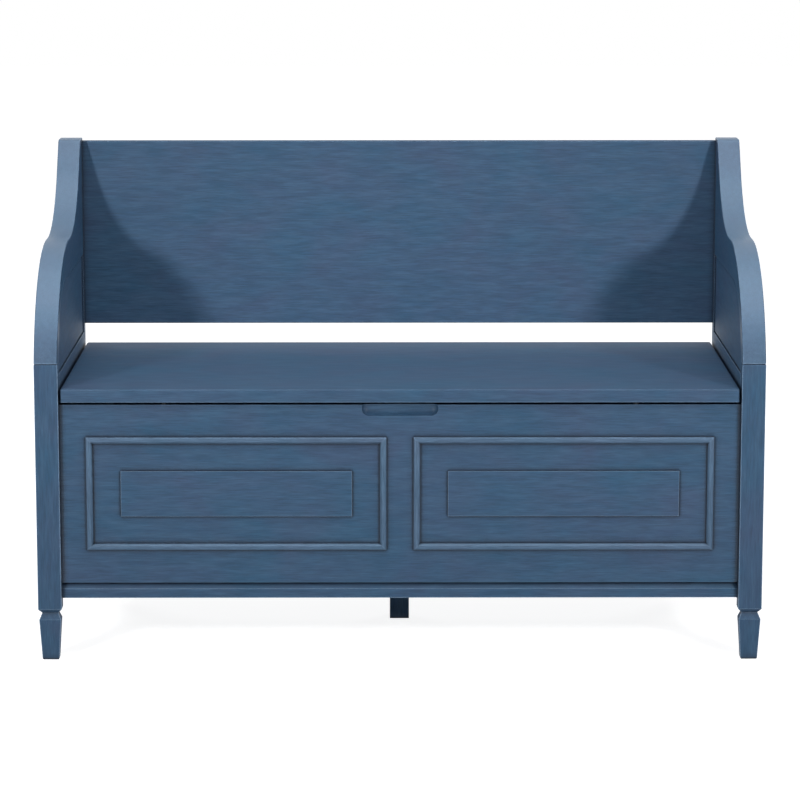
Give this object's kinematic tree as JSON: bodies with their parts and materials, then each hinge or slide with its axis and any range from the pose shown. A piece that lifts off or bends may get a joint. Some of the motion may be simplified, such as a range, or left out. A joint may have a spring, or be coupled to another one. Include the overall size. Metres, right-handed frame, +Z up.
{
  "type": "settle bench",
  "caption": "Painted wooden settle bench with curved arms, a flat backrest, and a hinged seat lid over a storage box with bead-framed front panels.",
  "frame": {"origin": "on the floor, under the middle of the bench's outline", "axes": "+X to the right as seen from the front, along the seat; +Y to the back; +Z up"},
  "size_m": [1.08, 0.46, 0.74],
  "materials": {
    "painted_wood": "navy glaze paint, brushed, satin",
    "beech_dowel": "turned, unpainted",
    "hinge_steel": "antique plated, satin",
    "zinc_screw": "zinc plated",
    "rubber": "matte"
  },
  "bodies": {
    "bench": {"arm_dowels": "beech_dowel", "backrest_dowels": "beech_dowel", "backrest_panel": "painted_wood", "box_back": "painted_wood", "box_back_dowels": "beech_dowel", "box_floor": "painted_wood", "box_hinge_screws": "zinc_screw", "centre_leg": "painted_wood", "centre_leg_peg": "beech_dowel", "cleat_screws": "zinc_screw", "floor_bearer": "painted_wood", "front_dowels": "beech_dowel", "front_floor_ledger": "painted_wood", "front_panel": "painted_wood", "front_rail": "painted_wood", "left_arm": "painted_wood", "left_base_rail": "painted_wood", "left_bead_bottom": "painted_wood", "left_bead_left": "painted_wood", "left_bead_right": "painted_wood", "left_bead_top": "painted_wood", "left_corner_batten": "painted_wood", "left_floor_ledger": "painted_wood", "left_front_leg": "painted_wood", "left_hinge_box_leaf": "hinge_steel", "left_hinge_pin": "hinge_steel", "left_lid_cleat": "painted_wood", "left_lower_panel": "painted_wood", "left_plaque": "painted_wood", "left_rear_post": "painted_wood", "left_seat_rail": "painted_wood", "left_upper_panel": "painted_wood", "lid_bumpers": "rubber", "rear_floor_ledger": "painted_wood", "right_arm": "painted_wood", "right_base_rail": "painted_wood", "right_bead_bottom": "painted_wood", "right_bead_left": "painted_wood", "right_bead_right": "painted_wood", "right_bead_top": "painted_wood", "right_corner_batten": "painted_wood", "right_floor_ledger": "painted_wood", "right_front_leg": "painted_wood", "right_hinge_box_leaf": "hinge_steel", "right_hinge_pin": "hinge_steel", "right_lid_cleat": "painted_wood", "right_lower_panel": "painted_wood", "right_plaque": "painted_wood", "right_rear_post": "painted_wood", "right_seat_rail": "painted_wood", "right_upper_panel": "painted_wood", "side_rail_dowels": "beech_dowel"},
    "lid": {"lid": "painted_wood", "left_hinge_lid_leaf": "hinge_steel", "right_hinge_lid_leaf": "hinge_steel", "lid_hinge_screws": "zinc_screw"}
  },
  "joints": [
    {"name": "lid_hinge", "type": "hinge", "parent": "bench", "child": "lid", "pos_m": [0, 0.1865, 0.3865], "axis": [-1, 0, 0], "range_deg": [0, 90]}
  ]
}
